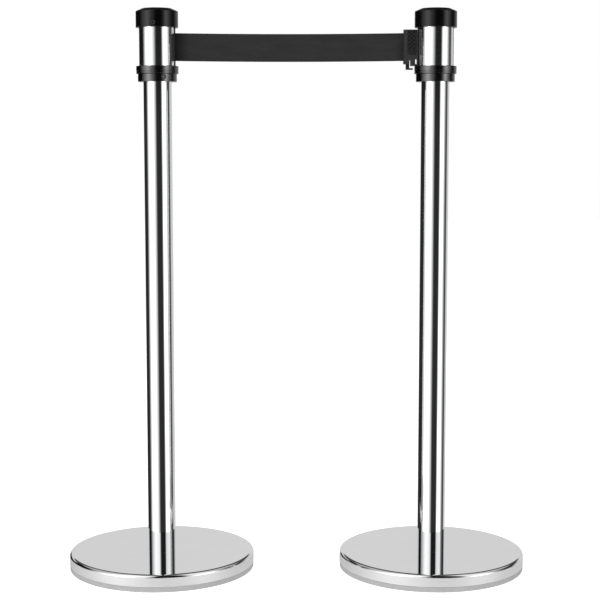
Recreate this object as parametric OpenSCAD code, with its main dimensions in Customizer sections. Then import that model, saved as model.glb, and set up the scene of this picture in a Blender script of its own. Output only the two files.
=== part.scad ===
// Retractable belt stanchion: a belt post with its spring cassette, linked by its belt to a receiver post.
// Millimetres, +Z up, origin on the floor midway between the posts, +X from the belt post to the end post.

/* [Layout] */
// Distance between the axes of the two posts
post_gap = 500; // [380:10:900]
// Height of the lower edge of the head above the floor
head_z = 892; // [700:1:1000]

/* [Base] */
// Diameter of the base
base_d = 340; // [280:5:420]
// Height of the rubber floor ring
ring_h = 9.6; // [6:0.2:14]
// Width of the rubber floor ring
ring_w = 16; // [10:1:30]
// Height of the straight side of the cover
side_h = 16; // [12:0.5:30]
// Radius of the rounded shoulder of the cover
shoulder_r = 5.6; // [3:0.2:9]
// Thickness of the spun cover
cover_t = 1.2; // [0.8:0.1:2]
// Gap between the weight and the cover's side
weight_gap = 0.5; // [0.2:0.1:2]
// Height of the weight's outer rim
weight_rim_h = 15; // [8:0.5:16]
// Diameter of the weight's raised middle
weight_top_d = 250; // [150:5:270]
// Depth of the hollow under the weight
weight_hollow_h = 5; // [3:0.5:8]
// Diameter of the hollow under the weight
weight_hollow_d = 220; // [100:5:260]

/* [Pole] */
// Outside diameter of the pole
pole_d = 50.8; // [48:0.2:54]
// Wall of the pole
pole_t = 1.2; // [0.8:0.1:2.5]
// Length of the threaded plug in the pole's foot
plug_h = 40; // [25:1:80]
// Depth of the pole's seat inside the upper collar
pole_seat_h = 7; // [4:0.5:8]
// Diameter of the tie bolt
tie_d = 12; // [8:1:16]
// Width across the flats of the tie bolt's head
tie_flats = 18; // [13:1:24]
// Height of the tie bolt's head
tie_head_h = 6.5; // [4:0.5:8]
// Diameter of the washer under the weight
washer_d = 44; // [26:1:60]
// Thickness of the washer
washer_t = 2.5; // [1.5:0.5:3]

/* [Head] */
// Wall of the lower collar round the pole
lower_collar_t = 9.6; // [8:0.1:12]
// Height of the lower collar
lower_collar_h = 14; // [12:0.5:20]
// How far the upper collar stands out of the sleeve
upper_collar_step = 6.25; // [5:0.25:9]
// Height of the upper collar
upper_collar_h = 14; // [12:0.5:20]
// Depth of the trim grooves round the upper collar
groove_depth = 0.7; // [0.3:0.1:1.2]
// Width of the trim grooves
groove_w = 0.9; // [0.5:0.1:1.5]
// Height of the lower trim groove above the collar's lower edge
groove_low = 1.8; // [1:0.1:3]
// Distance between the two trim grooves
groove_pitch = 2.8; // [2:0.1:4]
// Outside diameter of the chromed sleeve
sleeve_d = 63.5; // [61:0.5:68]
// Wall of the sleeve
sleeve_t = 1.5; // [1:0.1:2]
// Height of the sleeve above and below the belt
sleeve_margin = 9.25; // [9:0.25:16]
// Depth of the sleeve's seats in the collar and the head plate
sleeve_seat = 2.5; // [1:0.5:4]
// Width of the slots in the sleeve
slot_w = 13; // [12:0.5:15]
// How far the cap stands out of the sleeve
cap_step = 6.25; // [5:0.25:9]
// Height of the cap
cap_h = 34; // [28:0.5:44]
// Width of the cap's chamfer
cap_chamfer_w = 11; // [6:0.5:14]
// Height of the cap's chamfer
cap_chamfer_h = 5; // [3:0.5:8]
// Wall of the cap
cap_t = 4; // [3:0.5:5]
// Height of the plate under the cap
plate_h = 11; // [9:0.5:14]
// Diameter of the grub screws
grub_d = 8; // [6:0.5:9]
// Length of the grub screws
grub_l = 8; // [6:0.5:9]
// Width across the flats of the grub screws' sockets
grub_flats = 4; // [3:0.5:5]
// Angle of the cap's grub screw from the front
cap_grub_a = -6; // [-60:1:60]
// Angle of the collar's grub screw from the front
collar_grub_a = 24; // [-60:1:60]
// Diameter of the long head bolts
head_bolt_d = 4; // [3:0.5:5]
// Depth of the head bolts behind the sleeve's inner wall
head_bolt_in = 3.75; // [3:0.25:5]
// Angle of the head bolts from the line between the slots
head_bolt_a = 55; // [50:1:70]

/* [Belt and cassette] */
// Width of the belt
belt_w = 49.5; // [40:0.5:52]
// Thickness of the belt
belt_t = 0.6; // [0.4:0.1:0.8]
// Free rim of the drum's flanges outside the full roll
roll_margin = 0.4; // [0.2:0.1:2]
// Diameter of the drum's hub
hub_d = 22; // [18:1:26]
// Clearance between the drum's flanges and the sleeve's inner wall
flange_gap = 1.95; // [1.9:0.05:4]
// Thickness of the drum's flanges
flange_t = 1.2; // [1:0.1:2]
// Distance of the drum's axis behind the middle of the belt outlet
drum_back = 5.5; // [3:0.5:6]
// Diameter of the drum's shaft
shaft_d = 8; // [6:0.5:10]
// Wall of the bushes round the shaft
bush_t = 1.5; // [1:0.1:2]
// Thickness of the cassette's plates
frame_t = 2; // [1.5:0.1:3]
// Diameter of the guide pins
guide_pin_d = 3; // [2:0.5:4]
// Depth of the guide pins behind the sleeve's surface
guide_pin_in = 4.75; // [4:0.25:5.5]
// Height of the spring cup
cup_h = 14; // [10:0.5:16]
// How much smaller the spring cup is than the drum's flanges
cup_step = 1.6; // [1:0.1:6]
// Wall of the spring cup
cup_t = 1.2; // [0.8:0.1:2]
// Turns of the power spring
spring_turns = 5; // [3:1:8]
// Thickness of the power spring's strip
spring_t = 0.5; // [0.3:0.1:1]

/* [Receivers] */
// How far a receiver stands out of the sleeve
receiver_out = 0.5; // [0:0.1:1]
// How far the belt outlet's lips stand out of the sleeve
outlet_out = 1.2; // [0.5:0.1:2]
// Thickness of a receiver's lips
lip_t = 2; // [1.5:0.1:2.5]
// Depth of the space behind the lips
pocket_d = 4; // [3.5:0.1:5]
// Thickness of a receiver's back wall
back_t = 2; // [1.5:0.1:2.5]
// Width of the shoulders behind the sleeve
shoulder_w = 18; // [15:0.5:19]
// Width of the gap between the lips
neck_gap = 6; // [5:0.1:7]

/* [Clip] */
// Thickness of the clip from front to back
clip_w = 17; // [15:0.5:20]
// Thickness of the clip's rear cover
cover_plate_t = 3; // [2:0.5:4]
// Length of the clip along the belt
clip_l = 25.5; // [24:0.5:30]
// How far the clip's block reaches below its body
block_drop = 3.1; // [2:0.1:4]
// Distance that the clip can be lifted
clip_lift = 3; // [2:0.1:3]
// Height of a lug on the clip's rail
lug_h = 2.4; // [1.5:0.1:2.6]
// Distance between the lugs
lug_pitch = 12; // [10:0.5:13]
// Diameter of the pin in the belt's end
belt_pin_d = 3; // [2:0.5:4]
// Height of the lever's leg below the clip's block
lever_drop = 6.8; // [5:0.1:9]
// Width of the lever's leg
leg_l = 6.1; // [4:0.1:7]
// Length of the lever's foot
foot_l = 12.4; // [9:0.1:13]
// Thickness of the lever's foot
foot_t = 2.8; // [2:0.1:4]
// Diameter of the lever's pin
lever_pin_d = 2.5; // [2:0.1:3]
// Diameter of the clip's screws
clip_screw_d = 2.5; // [2:0.1:3]

/* [Fits] */
// Clearance between pieces that are only assembled
fit = 0.15; // [0.1:0.05:0.3]
// Running clearance of a shaft or pin, on the radius
run = 0.05; // [0.02:0.01:0.1]

/* [Hidden] */
$fn = 96;

eps = 0.01;
big = 200;
base_r = base_d / 2;
lift_gap = 0.5;
rest_gap = 0.4;
base_top = ring_h + side_h + shoulder_r;
pole_r = pole_d / 2;
seam_z = head_z + lower_collar_h;
sleeve_z = seam_z + upper_collar_h;
sleeve_h = belt_w + 2 * sleeve_margin;
sleeve_top = sleeve_z + sleeve_h;
sleeve_r = sleeve_d / 2;
sleeve_ri = sleeve_r - sleeve_t;
lower_collar_r = pole_r + lower_collar_t;
upper_collar_r = sleeve_r + upper_collar_step;
head_bolt_r = sleeve_ri - head_bolt_in;
bolt_angles = [head_bolt_a, 180 - head_bolt_a];
pole_top = seam_z + pole_seat_h;
cap_r = sleeve_r + cap_step;
grub_sink = 0.8;
grub_socket = 3;
collar_grub_z = head_z + lower_collar_h / 2 + 1.4;
cap_grub_z = sleeve_top + 7.3;
belt_z = sleeve_z + sleeve_h / 2;
belt_lo = belt_z - belt_w / 2;
belt_hi = belt_z + belt_w / 2;

// Cassette heights, from the belt outwards
slip = 0.1;
side_gap = 0.3;
turn_gap = 0.5;
flange_lo = belt_lo - side_gap - flange_t;
flange_hi = belt_hi + side_gap + flange_t;
floor_top = flange_lo - turn_gap;
lid_lo = flange_hi + turn_gap;
cup_z = lid_lo + frame_t;

// Receiver depths, from the sleeve's surface inwards
lip_in = sleeve_r + receiver_out - lip_t;
back_in = lip_in - pocket_d;
insert_in = back_in - back_t;
pocket_w = slot_w - 1.4;
cut_w = shoulder_w + 1;
insert_gap = 0.5;

// The belt's path inside the head: it leaves the roll, bends round a guide pin and runs out along +X
hub_r = hub_d / 2;
flange_r = sleeve_ri - drum_back - flange_gap;
guide_pin_x = sleeve_r - guide_pin_in;
cup_d = 2 * flange_r - cup_step;
full_r = flange_r - roll_margin;
belt_len = PI * (full_r * full_r - hub_r * hub_r) / belt_t;
belt_out = post_gap - guide_pin_x;
roll_r = sqrt(hub_r * hub_r + (belt_len - belt_out) * belt_t / PI);
bend_r = guide_pin_d / 2 + belt_t / 2 + slip;
pin_y = bend_r;
leave_r = roll_r + belt_t / 2 + slip;
pin_dy = pin_y + drum_back;
lead_a = atan2(pin_dy, guide_pin_x) - asin((leave_r + bend_r) / norm([guide_pin_x, pin_dy]));
lead_n = [-sin(lead_a), cos(lead_a)];
lead_from = [0, -drum_back] + leave_r * lead_n;
lead_to = [guide_pin_x, pin_y] - bend_r * lead_n;
lead_l = norm(lead_to - lead_from);

// Clip positions, measured from the end post's axis
clip_gap = 0.6;
nose_x = -sleeve_r - receiver_out;
clip_x = nose_x - clip_l;
clip_z = sleeve_z + rest_gap + block_drop;
clip_top = sleeve_top - clip_lift - lift_gap;
belt_pin_x = clip_x + 4.1;
loop_ri = belt_pin_d / 2 + slip;
loop_ro = loop_ri + belt_t;
leg_x = clip_x + 4.3;
notch_x = leg_x + 4;
notch_z = clip_z + 7.1;
block_x = leg_x + leg_l + 2.1;
pivot = [block_x + 2, notch_z + 7.5];
lever_z = sleeve_z + rest_gap - lever_drop;
arm_w = 7;
leg_w = 9.2;
room_x = pivot[0] - 7;
tongue_w = 2.4;
tongue_h = 3;
tongue_z = pivot[1] + 11.5;
tongue_x = -back_in + 1;
rail_x = nose_x - 4.8;
rail_z = notch_z + 2.4;
rail_h = clip_top - 3 - rail_z;
lug_z = rail_z + 1.2;
neck_w = neck_gap - 0.8;
lug_w = pocket_w - 1.2;
lug_x = -lip_in + 0.3;
lug_l = 2;
eye_l = 3.4;
eye_h = 9.2;
eye_x = nose_x - 4.8;
eye_z = clip_z + 4.3;
eye_lo = eye_z - eye_h / 2 + eye_l / 2;
eye_hi = eye_z + eye_h / 2 - eye_l / 2;
split_y = clip_w / 2 - cover_plate_t;

module belt_post() translate([-post_gap / 2, 0, 0]) children();
module end_post() translate([post_gap / 2, 0, 0]) rotate(180) children();
module at_clip() translate([post_gap / 2, 0, 0]) children();
module at_drum() translate([-post_gap / 2, -drum_back, 0]) children();

module tube(ro, ri, z0, h) {
    translate([0, 0, z0]) difference() {
        cylinder(r = ro, h = h);
        translate([0, 0, -1]) cylinder(r = ri, h = h + 2);
    }
}

// A block given by its lowest corner and its highest corner
module block(lo, hi) translate(lo) cube(hi - lo);

// A round hole across the thickness of the clip
module cross_hole(r, x, z, y0, y1) translate([x, y0, z]) rotate([-90, 0, 0]) cylinder(r = r, h = y1 - y0);

// Places a radial screw at an angle from the front
module radial(a, z) translate([0, 0, z]) rotate(a) rotate([90, 0, 0]) children();

module floor_ring() {
    color("dimgray") tube(base_r, base_r - ring_w, 0, ring_h);
}

module weight() {
    rim_r = base_r - cover_t - weight_gap;
    boss_h = side_h + shoulder_r - cover_t - weight_rim_h;
    color("slategray") difference() {
        union() {
            translate([0, 0, ring_h]) cylinder(r = rim_r, h = weight_rim_h);
            translate([0, 0, ring_h + weight_rim_h - eps]) cylinder(d = weight_top_d, h = boss_h + eps);
        }
        translate([0, 0, ring_h - 1]) cylinder(d = weight_hollow_d, h = weight_hollow_h + 1);
        translate([0, 0, ring_h]) cylinder(r = tie_d / 2 + 2 * fit, h = big);
    }
}

module cover_profile(r, top, round_r) {
    intersection() {
        union() {
            translate([0, ring_h]) square([r, top - ring_h - round_r]);
            translate([0, top - round_r - eps]) square([r - round_r, round_r + eps]);
            translate([r - round_r, top - round_r]) circle(r = round_r);
        }
        translate([0, ring_h]) square([r, top]);
    }
}

module base_cover() {
    color("gainsboro") difference() {
        rotate_extrude($fn = 128) difference() {
            cover_profile(base_r, base_top, shoulder_r);
            cover_profile(base_r - cover_t, base_top - cover_t, shoulder_r - cover_t);
            square([base_r - cover_t, ring_h + 1]);
        }
        translate([0, 0, ring_h]) cylinder(r = tie_d / 2 + 2 * fit, h = big);
    }
}

module washer() {
    color("silver") tube(washer_d / 2, tie_d / 2 + fit, ring_h + weight_hollow_h - washer_t, washer_t);
}

module tie_bolt() {
    head_top = ring_h + weight_hollow_h - washer_t;
    color("silver") union() {
        translate([0, 0, head_top - tie_head_h]) cylinder(d = tie_flats / cos(30), h = tie_head_h, $fn = 6);
        translate([0, 0, head_top - eps]) cylinder(d = tie_d, h = base_top + plug_h - 6 - head_top);
    }
}

module pole_plug() {
    color("darkgray") tube(pole_r - pole_t - fit / 3, tie_d / 2 + fit / 2, base_top, plug_h);
}

module pole() {
    color("whitesmoke") tube(pole_r, pole_r - pole_t, base_top, pole_top - base_top);
}

// A round hole along a screw's own axis, from that depth outwards
module grub_hole(from) translate([0, 0, from]) cylinder(d = grub_d + 2 * fit, h = big);

// A screw with a hexagon socket in its outer end
module grub(from, length) translate([0, 0, from]) difference() {
    cylinder(d = grub_d, h = length);
    translate([0, 0, length - grub_socket]) cylinder(d = grub_flats / cos(30), h = grub_socket + 1, $fn = 6);
}

module lower_collar() {
    color("black") difference() {
        tube(lower_collar_r, pole_r + fit, head_z, lower_collar_h);
        radial(collar_grub_a, collar_grub_z) grub_hole(pole_r - 2);
    }
}

module collar_screw() {
    reach = lower_collar_r - pole_r - grub_sink;
    color("dimgray") radial(collar_grub_a, collar_grub_z) grub(pole_r + run, reach);
}

module side_cuts(x, z0, z1) {
    block([x, -cut_w / 2, z0], [big, cut_w / 2, z1]);
    block([-big, -cut_w / 2, z0], [-x, cut_w / 2, z1]);
}

module bolt_holes(d, z0, z1) {
    for (a = bolt_angles) rotate(a) translate([head_bolt_r, 0, z0]) cylinder(d = d, h = z1 - z0);
}

module sleeve_groove(z0, h) tube(sleeve_r + fit, sleeve_ri - fit, z0, h);

module upper_collar() {
    spigot_r = sleeve_ri - fit;
    spigot_h = floor_top - frame_t - sleeve_z;
    grooves = [seam_z + groove_low, seam_z + groove_low + groove_pitch];
    color("black") difference() {
        union() {
            translate([0, 0, seam_z]) cylinder(r = upper_collar_r, h = upper_collar_h);
            translate([0, 0, sleeve_z - eps]) cylinder(r = spigot_r, h = spigot_h + eps);
        }
        for (z = grooves) tube(big, upper_collar_r - groove_depth, z, groove_w);
        sleeve_groove(sleeve_z - sleeve_seat, sleeve_seat + eps);
        translate([0, 0, seam_z - 1]) cylinder(r = pole_r + fit, h = pole_seat_h + 1);
        translate([0, 0, seam_z]) cylinder(r = pole_r - 6, h = big);
        side_cuts(insert_in - insert_gap, sleeve_z, sleeve_top);
        bolt_holes(head_bolt_d + fit, sleeve_z - 6.5, sleeve_top);
    }
}

module sleeve() {
    color("whitesmoke") difference() {
        tube(sleeve_r, sleeve_ri, sleeve_z - sleeve_seat, sleeve_h + 2 * sleeve_seat);
        block([-big, -slot_w / 2, sleeve_z], [big, slot_w / 2, sleeve_top]);
    }
}

// The outer form of what fills a slot: it reaches out through the slot and has shoulders behind the sleeve
module insert_blank(out) {
    z0 = sleeve_z + fit;
    z1 = sleeve_top - fit;
    intersection() {
        block([insert_in, -slot_w / 2 + fit, z0], [big, slot_w / 2 - fit, z1]);
        translate([0, 0, z0]) cylinder(r = sleeve_r + out, h = z1 - z0);
    }
    intersection() {
        block([insert_in, -shoulder_w / 2, z0], [big, shoulder_w / 2, z1]);
        translate([0, 0, z0]) cylinder(r = sleeve_ri - fit, h = z1 - z0);
    }
}

module outlet_guide() {
    color("black") difference() {
        insert_blank(outlet_out);
        block([insert_in - 1, -pocket_w / 2, floor_top - 3], [guide_pin_x + 2.6, pocket_w / 2, lid_lo + 3]);
        block([insert_in, -belt_t / 2 - 1, belt_lo - 1.5], [big, belt_t / 2 + 1, belt_hi + 1.5]);
        for (s = [-1, 1]) translate([guide_pin_x, s * pin_y, floor_top - 4.5]) {
            cylinder(d = guide_pin_d + fit, h = lid_lo - floor_top + 9);
        }
    }
}

module guide_pins() {
    color("silver") for (s = [-1, 1]) translate([guide_pin_x, s * pin_y, floor_top - 4.4]) {
        cylinder(d = guide_pin_d, h = lid_lo - floor_top + 8.8);
    }
}

// A receiver: lips that hold the clip's lugs, windows that let them in once lifted, and a catch slot
module receiver() {
    z0 = sleeve_z + 4;
    color("black") difference() {
        insert_blank(receiver_out);
        block([back_in, -pocket_w / 2, z0], [lip_in, pocket_w / 2, sleeve_top - 3]);
        block([lip_in - 1, -neck_gap / 2, z0], [big, neck_gap / 2, sleeve_top - 3]);
        for (i = [0 : 3]) block(
            [lip_in - 1, -pocket_w / 2, lug_z + i * lug_pitch + clip_lift - 0.3],
            [big, pocket_w / 2, lug_z + i * lug_pitch + clip_lift + lug_h + 0.3]);
        block(
            [insert_in - 1, -tongue_w / 2 - 0.4, tongue_z - 0.4],
            [back_in + 1, tongue_w / 2 + 0.4, tongue_z + tongue_h + clip_lift + 2.4]);
    }
}

module head_plate(hole_r, hole_y) {
    color("black") difference() {
        union() {
            translate([0, 0, sleeve_top]) cylinder(r = cap_r - cap_t - fit, h = plate_h);
            translate([0, 0, cup_z]) cylinder(r = sleeve_ri - fit, h = sleeve_top - cup_z + eps);
        }
        translate([0, -hole_y, cup_z - 1]) cylinder(r = hole_r, h = big);
        side_cuts(insert_in - insert_gap, cup_z - 1, sleeve_top);
        bolt_holes(head_bolt_d + 2 * fit, cup_z - 1, sleeve_top + plate_h + 1);
        sleeve_groove(sleeve_top - eps, sleeve_seat + eps);
        radial(cap_grub_a, cap_grub_z) grub_hole(cap_r - grub_l - 1);
    }
}

module head_bolts() {
    head_z0 = sleeve_top + plate_h;
    color("silver") for (a = bolt_angles) rotate(a) translate([head_bolt_r, 0, 0]) difference() {
        union() {
            translate([0, 0, sleeve_z - 6]) cylinder(d = head_bolt_d, h = head_z0 - sleeve_z + 6);
            translate([0, 0, head_z0]) cylinder(d = 7, h = 3.5);
        }
        translate([0, 0, head_z0 + 1.5]) cylinder(d = 3 / cos(30), h = 3, $fn = 6);
    }
}

module cap() {
    top = sleeve_top + cap_h;
    color("black") difference() {
        rotate_extrude($fn = 128) polygon([
            [0, top - cap_t], [cap_r - cap_t - 5, top - cap_t], [cap_r - cap_t, top - cap_t - 5],
            [cap_r - cap_t, sleeve_top], [cap_r, sleeve_top], [cap_r, top - cap_chamfer_h],
            [cap_r - cap_chamfer_w, top], [0, top]
        ]);
        radial(cap_grub_a, cap_grub_z) grub_hole(pole_r);
    }
}

module cap_screw() {
    color("dimgray") radial(cap_grub_a, cap_grub_z) grub(cap_r - grub_sink - grub_l, grub_l);
}

// A cassette plate with room for the two inserts, the head bolts and a bush
module cassette_plate(z) {
    difference() {
        translate([0, 0, z]) cylinder(r = sleeve_ri - 2 * fit, h = frame_t);
        side_cuts(insert_in - insert_gap, z - 1, z + frame_t + 1);
        bolt_holes(head_bolt_d + 2 * fit, z - 1, z + frame_t + 1);
        translate([0, -drum_back, z - 1]) cylinder(r = shaft_d / 2 + run + bush_t + run, h = frame_t + 2);
    }
}

module cassette_frame() {
    wall_ro = sleeve_ri - 2 * fit;
    color("dimgray") union() {
        cassette_plate(floor_top - frame_t);
        intersection() {
            tube(wall_ro, wall_ro - 1, floor_top - eps, lid_lo - floor_top + eps);
            block([-wall_ro * 0.75, -big, floor_top - eps], [wall_ro * 0.75, 0, lid_lo]);
        }
    }
}

module cassette_lid() {
    color("dimgray") cassette_plate(lid_lo);
}

module cassette_bushes() {
    bush_r = shaft_d / 2 + run;
    color("goldenrod") union() {
        tube(bush_r + bush_t, bush_r, floor_top - frame_t, frame_t + turn_gap - 0.1);
        tube(bush_r + bush_t, bush_r, lid_lo, frame_t);
    }
}

module spring_cup() {
    color("silver") difference() {
        translate([0, 0, cup_z]) cylinder(d = cup_d, h = cup_h);
        translate([0, 0, cup_z + cup_t]) cylinder(d = cup_d - 2 * cup_t, h = cup_h);
        translate([0, 0, cup_z - 1]) cylinder(r = shaft_d / 2 + 0.5, h = cup_h);
    }
}

// A spiral strip from the shaft to the cup's wall
module power_spring() {
    r0 = shaft_d / 2 + 0.1;
    r1 = cup_d / 2 - cup_t - spring_t - 0.3;
    steps = 28 * spring_turns;
    function at(i, out) = (r0 + (r1 - r0) * i / steps + out) * [cos(i * 360 / 28), sin(i * 360 / 28)];
    color("steelblue") translate([0, 0, cup_z + cup_t + 0.3]) linear_extrude(cup_h - cup_t - 0.6) {
        polygon([for (i = [0 : steps]) at(i, 0), for (i = [steps : -1 : 0]) at(i, spring_t)]);
    }
}

module spring_lid() {
    color("silver") translate([0, 0, cup_z + cup_h]) cylinder(d = cup_d, h = 1);
}

module drum_shaft() {
    color("silver") translate([0, 0, floor_top - frame_t]) {
        cylinder(d = shaft_d, h = cup_z + cup_h - 1 - floor_top + frame_t);
    }
}

module drum() {
    color("dimgray") difference() {
        union() {
            translate([0, 0, flange_lo]) cylinder(r = flange_r, h = flange_t);
            translate([0, 0, flange_lo]) cylinder(r = hub_r, h = flange_hi - flange_lo);
            translate([0, 0, flange_hi - flange_t]) cylinder(r = flange_r, h = flange_t);
        }
        translate([0, 0, flange_lo - 1]) cylinder(r = shaft_d / 2 + 0.02, h = flange_hi - flange_lo + 2);
    }
}

module belt_roll() {
    color("darkslategray") tube(roll_r, hub_r + 0.05, belt_lo, belt_w);
}

// The run between the roll and the guide pin, and the bend round the pin
module belt_lead() {
    color("darkslategray") translate([0, 0, belt_lo]) linear_extrude(belt_w) union() {
        translate(lead_from) rotate(lead_a) translate([0, -belt_t / 2]) square([lead_l, belt_t]);
        translate([guide_pin_x, pin_y]) intersection() {
            difference() {
                circle(r = bend_r + belt_t / 2);
                circle(r = bend_r - belt_t / 2);
            }
            polygon([[0, 0], -2 * bend_r * lead_n, [-2 * bend_r, -4 * bend_r], [0, -4 * bend_r]]);
        }
    }
}

module belt() {
    start = -post_gap + guide_pin_x;
    color("darkslategray") translate([0, 0, belt_lo]) linear_extrude(belt_w) difference() {
        union() {
            translate([start, -belt_t / 2]) square([belt_pin_x - loop_ri - start, belt_t]);
            translate([belt_pin_x, 0]) circle(r = loop_ro);
        }
        translate([belt_pin_x, 0]) circle(r = loop_ri);
    }
}

module belt_end_pin() {
    color("silver") translate([belt_pin_x, 0, belt_lo - 1]) cylinder(d = belt_pin_d, h = belt_w + 2);
}

// The outline of the clip from the front, with the notch for the lever and the eye beside the post
module clip_solid(y0, y1) {
    difference() {
        union() {
            block([clip_x, y0, clip_z], [nose_x + 2, y1, clip_top]);
            block([block_x, y0, clip_z - block_drop], [nose_x + 2, y1, clip_z + 1]);
        }
        translate([0, 0, clip_z - 50]) cylinder(r = sleeve_r + clip_gap + receiver_out, h = big);
        block([notch_x, y0 - 1, clip_z - 1], [block_x, y1 + 1, notch_z]);
        for (z = [eye_lo, eye_hi]) cross_hole(eye_l / 2, eye_x + eye_l / 2, z, y0 - 1, y1 + 1);
        block([eye_x, y0 - 1, eye_lo], [eye_x + eye_l, y1 + 1, eye_hi]);
    }
}

// The slot that the lever's tongue moves in, from x0 to x1
module tongue_slot(x0, x1) {
    half = tongue_w / 2 + 0.4;
    block([x0, -half, tongue_z - 0.6], [x1, half, tongue_z + tongue_h + 2.4]);
}

// The room inside the clip for the belt's end, the lever and the rail
module clip_room() {
    half = arm_w / 2 + 0.4;
    translate([belt_pin_x, 0, belt_lo - 1.2]) cylinder(r = loop_ro + 0.5, h = belt_w + 2.4);
    block([clip_x - 1, -belt_t / 2 - 0.4, belt_lo - 0.6], [belt_pin_x, belt_t / 2 + 0.4, belt_hi + 0.6]);
    block([room_x, -half, notch_z - 1], [pivot[0] + 4.4, half, tongue_z + tongue_h + 1.4]);
    block([leg_x - 0.4, -leg_w / 2 - 0.4, clip_z - 1], [notch_x + 1, leg_w / 2 + 0.4, belt_lo - 1.8]);
    tongue_slot(pivot[0], big);
    block([rail_x, -neck_w / 2 - 0.05, rail_z - 0.05], [big, neck_w / 2 + 0.05, rail_z + rail_h + 0.05]);
}

clip_screw_at = [
    [clip_x + 4.2, clip_top - 3],
    [clip_x + 15.5, clip_top - 8],
    [block_x + 1.9, clip_z + 1]
];

module clip_body() {
    color("dimgray") difference() {
        clip_solid(-clip_w / 2, split_y);
        clip_room();
        cross_hole(lever_pin_d / 2 + 0.02, pivot[0], pivot[1], -clip_w / 2 + 1.5, split_y + 1);
        for (p = clip_screw_at) cross_hole(clip_screw_d / 2 + 0.05, p[0], p[1], split_y - 5, split_y + 1);
    }
}

module clip_cover() {
    color("dimgray") difference() {
        clip_solid(split_y, clip_w / 2);
        for (p = clip_screw_at) {
            cross_hole(clip_screw_d / 2 + 0.05, p[0], p[1], split_y - 1, clip_w / 2 + 1);
            cross_hole(clip_screw_d - 0.4, p[0], p[1], clip_w / 2 - 1.4, clip_w / 2 + 1);
        }
    }
}

module clip_screws() {
    color("silver") for (p = clip_screw_at) union() {
        cross_hole(clip_screw_d / 2, p[0], p[1], split_y - 4.8, clip_w / 2 - 1.3);
        cross_hole(clip_screw_d - 0.5, p[0], p[1], clip_w / 2 - 1.4, clip_w / 2 - 0.2);
    }
}

module clip_rail() {
    color("black") difference() {
        union() {
            block([rail_x, -neck_w / 2, rail_z], [lug_x + lug_l, neck_w / 2, rail_z + rail_h]);
            for (i = [0 : 3]) block(
                [lug_x, -lug_w / 2, lug_z + i * lug_pitch],
                [lug_x + lug_l, lug_w / 2, lug_z + i * lug_pitch + lug_h]);
        }
        tongue_slot(rail_x - 1, 0);
    }
}

module lock_lever() {
    leg_top = belt_lo - 2.2;
    px = pivot[0];
    pz = pivot[1];
    color("black") difference() {
        union() {
            block([leg_x, -leg_w / 2, lever_z], [leg_x + leg_l, leg_w / 2, leg_top]);
            block([leg_x, -leg_w / 2, lever_z], [leg_x + foot_l, leg_w / 2, lever_z + foot_t]);
            translate([0, arm_w / 2, 0]) rotate([90, 0, 0]) linear_extrude(arm_w) polygon([
                [notch_x + 0.2, leg_top - 1], [leg_x + leg_l, leg_top - 1],
                [leg_x + leg_l + 0.9, notch_z + 1], [px + 2.4, pz - 3], [px + 3, pz + 2],
                [px + 2, tongue_z + tongue_h], [px - 2, tongue_z + tongue_h], [px - 3.2, pz - 1]
            ]);
            block([px, -tongue_w / 2, tongue_z], [tongue_x, tongue_w / 2, tongue_z + tongue_h]);
        }
        cross_hole(lever_pin_d / 2 + run, px, pz, -clip_w, clip_w);
    }
}

module lever_pin() {
    color("silver") cross_hole(lever_pin_d / 2, pivot[0], pivot[1], -clip_w / 2 + 1.6, split_y - 0.1);
}

// A bent leaf spring between the wall of the clip's room and the lever's arm
module lever_spring() {
    x0 = room_x + 0.05;
    z0 = pivot[1] + 1;
    color("steelblue") translate([0, 2, 0]) rotate([90, 0, 0]) linear_extrude(4) polygon([
        [x0, z0], [x0, z0 + 4], [x0 + 3.9, z0 + 8.4], [x0 + 4.2, z0 + 8], [x0 + 0.5, z0 + 3.8], [x0 + 0.5, z0]
    ]);
}

module core() {
    color("dimgray") difference() {
        union() {
            translate([0, 0, floor_top - frame_t]) cylinder(r = sleeve_ri - 2 * fit, h = frame_t);
            tube(sleeve_ri - 2 * fit, insert_in - 4, floor_top - eps, cup_z - floor_top + eps);
        }
        side_cuts(insert_in - insert_gap, sleeve_z, sleeve_top + 1);
        bolt_holes(head_bolt_d + 2 * fit, sleeve_z, sleeve_top + 1);
    }
}

belt_post() floor_ring();  // belt_post_floor_ring
belt_post() weight();  // belt_post_weight
belt_post() base_cover();  // belt_post_base_cover
belt_post() tie_bolt();  // belt_post_tie_bolt
belt_post() washer();  // belt_post_washer
belt_post() pole_plug();  // belt_post_pole_plug
belt_post() pole();  // belt_post_pole
belt_post() lower_collar();  // belt_post_lower_collar
belt_post() collar_screw();  // belt_post_collar_screw
belt_post() upper_collar();  // belt_post_upper_collar
belt_post() sleeve();  // belt_post_sleeve
belt_post() outlet_guide();  // belt_post_outlet_guide
belt_post() guide_pins();  // belt_post_guide_pins
belt_post() rotate(180) receiver();  // belt_post_receiver
belt_post() head_plate(cup_d / 2 + 0.5, drum_back);  // belt_post_head_plate
belt_post() head_bolts();  // belt_post_head_bolts
belt_post() cap();  // belt_post_cap
belt_post() cap_screw();  // belt_post_cap_screw
belt_post() cassette_frame();
belt_post() cassette_lid();
at_drum() cassette_bushes();
at_drum() spring_cup();
at_drum() power_spring();
at_drum() spring_lid();
at_drum() drum_shaft();
at_drum() drum();
at_drum() belt_roll();
belt_post() belt_lead();
at_clip() belt();
at_clip() belt_end_pin();
at_clip() clip_body();
at_clip() clip_cover();
at_clip() clip_screws();
at_clip() clip_rail();
at_clip() lock_lever();
at_clip() lever_pin();
at_clip() lever_spring();
end_post() floor_ring();  // end_post_floor_ring
end_post() weight();  // end_post_weight
end_post() base_cover();  // end_post_base_cover
end_post() tie_bolt();  // end_post_tie_bolt
end_post() washer();  // end_post_washer
end_post() pole_plug();  // end_post_pole_plug
end_post() pole();  // end_post_pole
end_post() lower_collar();  // end_post_lower_collar
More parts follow.
